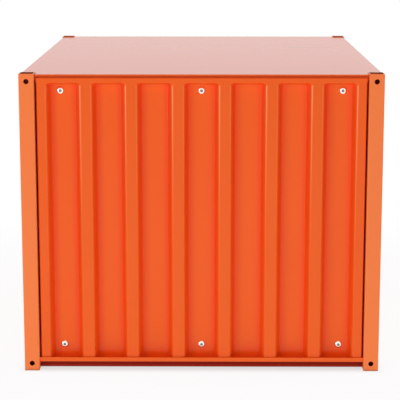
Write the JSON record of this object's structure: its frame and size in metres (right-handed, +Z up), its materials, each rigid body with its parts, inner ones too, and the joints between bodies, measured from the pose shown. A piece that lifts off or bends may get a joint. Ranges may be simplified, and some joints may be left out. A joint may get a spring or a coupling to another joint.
{
  "type": "container-shaped storage box",
  "caption": "Furniture-size sheet-steel storage box in the form of a shipping container, with pressed ribbed walls screwed to rails between square tube posts.",
  "frame": {"origin": "on the ground at the middle of the box, level with the posts' feet", "axes": "+Z up, -Y out of the front face, +X to the right as seen from the front"},
  "size_m": [0.45, 0.55, 0.38],
  "materials": {
    "frame_paint": "orange powder coat, satin gloss",
    "panel_paint": "orange powder coat, satin gloss",
    "roof_paint": "orange powder coat, satin gloss",
    "screw_steel": "bright stainless button heads"
  },
  "bodies": {
    "root": {"post_front_left": "frame_paint", "cap_plate_front_left": "frame_paint", "foot_plate_front_left": "frame_paint", "post_front_right": "frame_paint", "cap_plate_front_right": "frame_paint", "foot_plate_front_right": "frame_paint", "post_back_right": "frame_paint", "cap_plate_back_right": "frame_paint", "foot_plate_back_right": "frame_paint", "post_back_left": "frame_paint", "cap_plate_back_left": "frame_paint", "foot_plate_back_left": "frame_paint", "front_panel": "panel_paint", "front_top_rail": "panel_paint", "front_bottom_rail": "panel_paint", "right_panel": "panel_paint", "right_top_rail": "panel_paint", "right_bottom_rail": "panel_paint", "back_panel": "panel_paint", "back_top_rail": "panel_paint", "back_bottom_rail": "panel_paint", "left_panel": "panel_paint", "left_top_rail": "panel_paint", "left_bottom_rail": "panel_paint", "roof_sheet": "roof_paint", "floor_pan": "panel_paint"}
  },
  "joints": []
}
